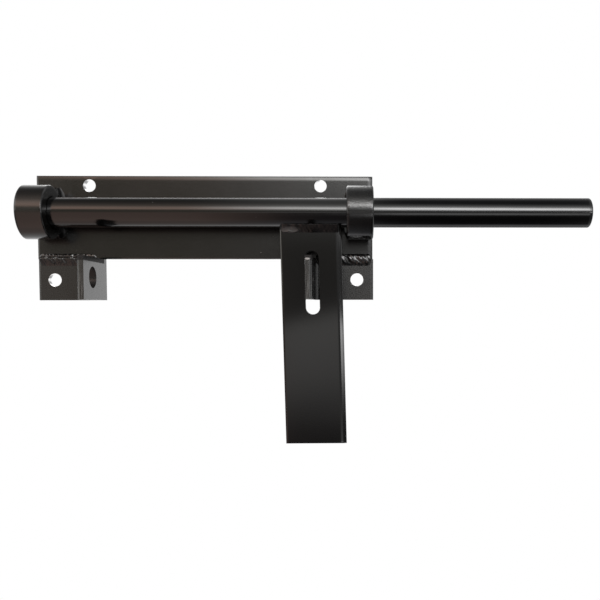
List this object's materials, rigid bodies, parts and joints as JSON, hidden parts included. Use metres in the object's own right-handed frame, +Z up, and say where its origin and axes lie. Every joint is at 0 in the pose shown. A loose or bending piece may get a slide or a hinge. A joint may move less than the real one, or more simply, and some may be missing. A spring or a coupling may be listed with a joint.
{
  "type": "bar gate latch",
  "caption": "Sliding round-bar gate latch: a bar in two guide rings on a back plate, moved by a slotted handle that drops over a padlock ear.",
  "frame": {"origin": "middle of the back plate's rear face, which lies on the gate", "axes": "+X along the bar towards its nose, +Y into the gate, +Z up; the front faces -Y"},
  "size_m": [0.4256, 0.0514, 0.206],
  "materials": {
    "plate_paint": "satin black paint over rolled flat bar",
    "ring_paint": "gloss black paint over sawn round stock",
    "ear_paint": "satin black paint over rolled angle",
    "bar_paint": "gloss black paint over drawn round bar",
    "handle_paint": "satin black paint over rolled flat bar",
    "weld_paint": "gloss black paint over rippled weld"
  },
  "bodies": {
    "base": {"back_plate": "plate_paint", "left_guide_ring": "ring_paint", "right_guide_ring": "ring_paint", "left_padlock_ear": "ear_paint", "right_padlock_ear": "ear_paint", "left_ear_weld": "weld_paint", "right_ear_weld": "weld_paint", "left_ring_upper_weld": "weld_paint", "left_ring_lower_weld": "weld_paint", "right_ring_upper_weld": "weld_paint", "right_ring_lower_weld": "weld_paint"},
    "bar": {"slide_bar": "bar_paint"},
    "handle": {"handle": "handle_paint", "handle_front_weld": "weld_paint", "handle_rear_weld": "weld_paint"}
  },
  "joints": [
    {"name": "bar_slide", "type": "slide", "parent": "base", "child": "bar", "axis": [1, 0, 0], "range_m": [-0.167, 0]},
    {"name": "handle_swing", "type": "hinge", "parent": "bar", "child": "handle", "pos_m": [0.0835, -0.02645, 0.0013], "axis": [-1, 0, 0], "range_deg": [-7, 187]}
  ]
}
